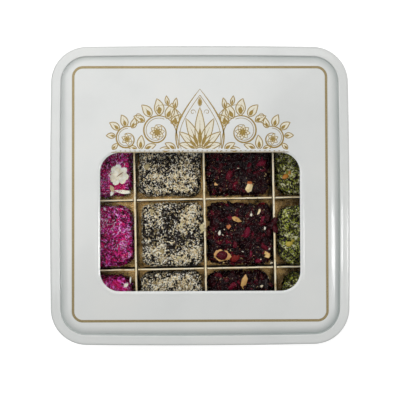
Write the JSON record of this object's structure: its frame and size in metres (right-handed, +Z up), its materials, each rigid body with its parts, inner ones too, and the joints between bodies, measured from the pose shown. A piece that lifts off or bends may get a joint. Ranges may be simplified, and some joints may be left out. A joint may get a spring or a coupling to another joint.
{
  "type": "sweets tin",
  "caption": "Square sweets tin with a windowed lift-off lid over coated jelly cubes in foil card dividers.",
  "frame": {"origin": "middle of the tin's foot, on the surface that it stands on", "axes": "+Z up through the lid, +X to the right and +Y to the back, away from the window's near side"},
  "size_m": [0.203, 0.203, 0.044],
  "materials": {
    "white_enamel": "gloss white enamel on tinplate",
    "tin_enamel": "gloss white enamel on tinplate, gold lacquer inside",
    "gold_foil_card": "satin gold foil on card",
    "clear_film": "clear film",
    "clear_glue": "clear glue",
    "rose_delight": "matt, coated in crimson petals",
    "sesame_delight": "matt, coated in black and white sesame",
    "barberry_delight": "dark, coated in dried berries and nuts",
    "pistachio_delight": "matt, coated in ground pistachio"
  },
  "bodies": {
    "tin": {"tin_wall": "tin_enamel", "tin_bottom": "tin_enamel", "base_card": "gold_foil_card", "long_divider_1": "gold_foil_card", "long_divider_2": "gold_foil_card", "long_divider_3": "gold_foil_card", "cross_divider_1": "gold_foil_card", "cross_divider_2": "gold_foil_card", "cross_divider_3": "gold_foil_card", "rose_delight_1": "rose_delight", "rose_delight_2": "rose_delight", "rose_delight_3": "rose_delight", "rose_delight_4": "rose_delight", "sesame_delight_1": "sesame_delight", "sesame_delight_2": "sesame_delight", "sesame_delight_3": "sesame_delight", "sesame_delight_4": "sesame_delight", "barberry_delight_1": "barberry_delight", "barberry_delight_2": "barberry_delight", "barberry_delight_3": "barberry_delight", "barberry_delight_4": "barberry_delight", "pistachio_delight_1": "pistachio_delight", "pistachio_delight_2": "pistachio_delight", "pistachio_delight_3": "pistachio_delight", "pistachio_delight_4": "pistachio_delight"},
    "lid": {"lid_shell": "white_enamel", "window_film": "clear_film", "window_adhesive": "clear_glue"}
  },
  "joints": [
    {"name": "lid_lift", "type": "slide", "parent": "tin", "child": "lid", "axis": [0, 0, 1], "range_m": [0, 0.06]}
  ]
}
